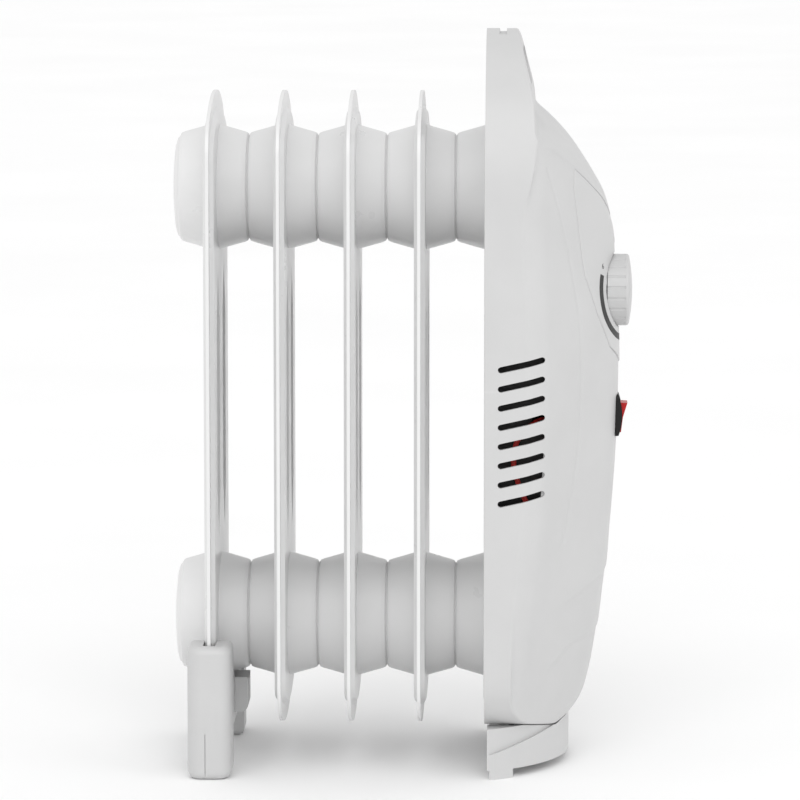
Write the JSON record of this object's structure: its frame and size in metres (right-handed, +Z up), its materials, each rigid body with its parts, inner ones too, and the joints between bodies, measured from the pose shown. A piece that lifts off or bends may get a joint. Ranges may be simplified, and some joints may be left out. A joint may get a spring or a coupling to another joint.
{
  "type": "oil filled radiator heater",
  "caption": "Small oil filled radiator: thin upright fins on two round collectors, domed front housing with carry grip, thermostat knob and rocker switch, on two white feet.",
  "frame": {"origin": "centre of the bounding box in plan, on the floor under the feet", "axes": "+X from the rear fin towards the control knob, +Y across the fins, +Z up"},
  "size_m": [0.2294, 0.139, 0.3676],
  "materials": {
    "fin_paint": "semi-gloss white powder coat",
    "housing_plastic": "satin white moulding",
    "panel_plastic": "satin white moulding",
    "foot_plastic": "satin white moulding",
    "knob_plastic": "satin white moulding",
    "black_plastic": "fine matt black moulding",
    "red_rocker": "glossy translucent red",
    "steel": "zinc plated",
    "brass": "plain",
    "ceramic": "matt off-white insulator",
    "phenolic": "matt dark brown",
    "wire_red": "silicone sleeve",
    "wire_blue": "silicone sleeve",
    "wire_brown": "silicone sleeve",
    "wire_green": "green insulation"
  },
  "bodies": {
    "heater": {"bracket_rivets": "steel", "cable_gland": "black_plastic", "control_panel": "panel_plastic", "earth_wire": "wire_green", "element_flange": "steel", "element_terminals": "brass", "element_wire": "wire_brown", "fin_1": "fin_paint", "fin_2": "fin_paint", "fin_3": "fin_paint", "fin_4": "fin_paint", "fin_5": "fin_paint", "foot_screws": "steel", "front_end_cap": "fin_paint", "front_foot": "foot_plastic", "heating_element": "steel", "housing_screws": "steel", "housing_shell": "housing_plastic", "live_wire": "wire_red", "lower_end_cap": "fin_paint", "mounting_plate": "steel", "neutral_wire": "wire_blue", "oil_filler_plug": "steel", "rear_foot": "foot_plastic", "rear_foot_screws": "steel", "switch_body": "black_plastic", "switch_terminals": "brass", "switched_wire": "wire_red", "terminal_block": "ceramic", "terminal_screws": "steel", "thermal_cutout": "phenolic", "thermostat_body": "phenolic", "thermostat_bracket": "steel", "thermostat_terminals": "brass", "upper_end_cap": "fin_paint"},
    "knob": {"temperature_knob": "knob_plastic", "thermostat_shaft": "steel"},
    "rocker": {"switch_rocker": "red_rocker"}
  },
  "joints": [
    {"name": "knob_turn", "type": "hinge", "parent": "heater", "child": "knob", "pos_m": [0.105, 0, 0.2371], "axis": [-1, 0, 0], "range_deg": [0, 300]},
    {"name": "rocker_tilt", "type": "hinge", "parent": "heater", "child": "rocker", "pos_m": [0.105, 0, 0.1743], "axis": [0, 1, 0], "range_deg": [-24, 0]}
  ]
}
